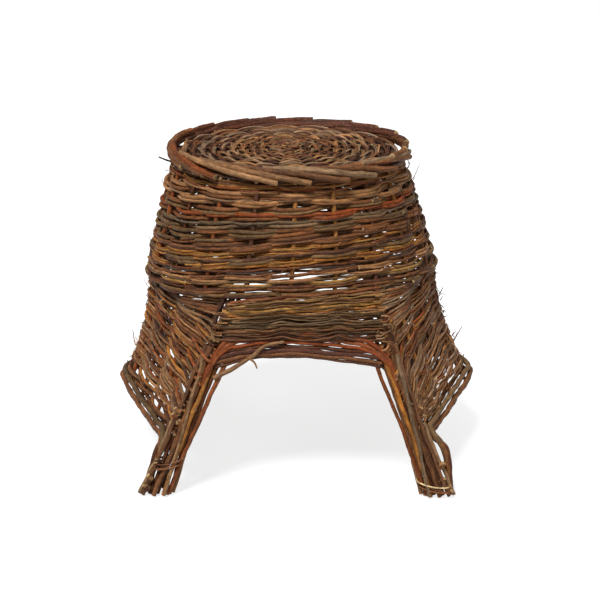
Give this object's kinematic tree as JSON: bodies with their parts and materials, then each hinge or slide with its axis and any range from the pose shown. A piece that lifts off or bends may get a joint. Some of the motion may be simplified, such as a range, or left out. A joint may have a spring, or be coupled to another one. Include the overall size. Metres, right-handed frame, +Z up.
{
  "type": "woven willow garden stand",
  "caption": "Low woven willow garden stand: round woven top, flaring basket body, high arches front and back, four rod-bundle feet.",
  "frame": {"origin": "on the ground under the middle of the round top", "axes": "+Z up, -Y towards the front arch, +X to the right seen from the front"},
  "size_m": [0.452, 0.3604, 0.3834],
  "materials": {
    "weaver_willow": "unpeeled bark, satin, many mixed browns",
    "stake_willow": "unpeeled bark, satin",
    "disc_willow": "unpeeled bark, satin",
    "rim_willow": "unpeeled bark, satin, pale cut ends",
    "panel_willow": "thin unpeeled tips, satin",
    "arch_willow": "orange-red unpeeled bark, satin",
    "leg_willow": "unpeeled bark, satin, pale cut ends",
    "peeled_willow": "thin split willow, matt"
  },
  "bodies": {
    "root": {"base_sticks_slit": "stake_willow", "base_sticks_threaded": "stake_willow", "centre_lashing": "disc_willow", "disc_weave_inner": "disc_willow", "disc_weave_outer": "disc_willow", "rim_rods": "rim_willow", "front_arch_stakes": "stake_willow", "back_arch_stakes": "stake_willow", "front_corner_stakes": "stake_willow", "back_corner_stakes": "stake_willow", "right_stakes": "stake_willow", "left_stakes": "stake_willow", "body_row_1": "weaver_willow", "body_row_2": "weaver_willow", "body_row_3": "weaver_willow", "body_row_4": "weaver_willow", "body_row_5": "weaver_willow", "body_row_6": "weaver_willow", "body_row_7": "weaver_willow", "body_row_8": "weaver_willow", "body_row_9": "weaver_willow", "right_row_1": "weaver_willow", "right_row_2": "weaver_willow", "right_row_3": "weaver_willow", "right_row_4": "weaver_willow", "right_row_5": "weaver_willow", "right_row_6": "weaver_willow", "right_row_7": "weaver_willow", "right_row_8": "weaver_willow", "right_row_9": "weaver_willow", "left_row_1": "weaver_willow", "left_row_2": "weaver_willow", "left_row_3": "weaver_willow", "left_row_4": "weaver_willow", "left_row_5": "weaver_willow", "left_row_6": "weaver_willow", "left_row_7": "weaver_willow", "left_row_8": "weaver_willow", "left_row_9": "weaver_willow", "front_panel": "panel_willow", "back_panel": "panel_willow", "front_arch_rods": "arch_willow", "back_arch_rods": "arch_willow", "front_left_leg": "leg_willow", "front_right_leg": "leg_willow", "back_left_leg": "leg_willow", "back_right_leg": "leg_willow", "front_left_wrap": "peeled_willow", "front_right_wrap": "peeled_willow", "back_left_wrap": "peeled_willow", "back_right_wrap": "peeled_willow", "right_border": "leg_willow", "left_border": "leg_willow"}
  },
  "joints": []
}
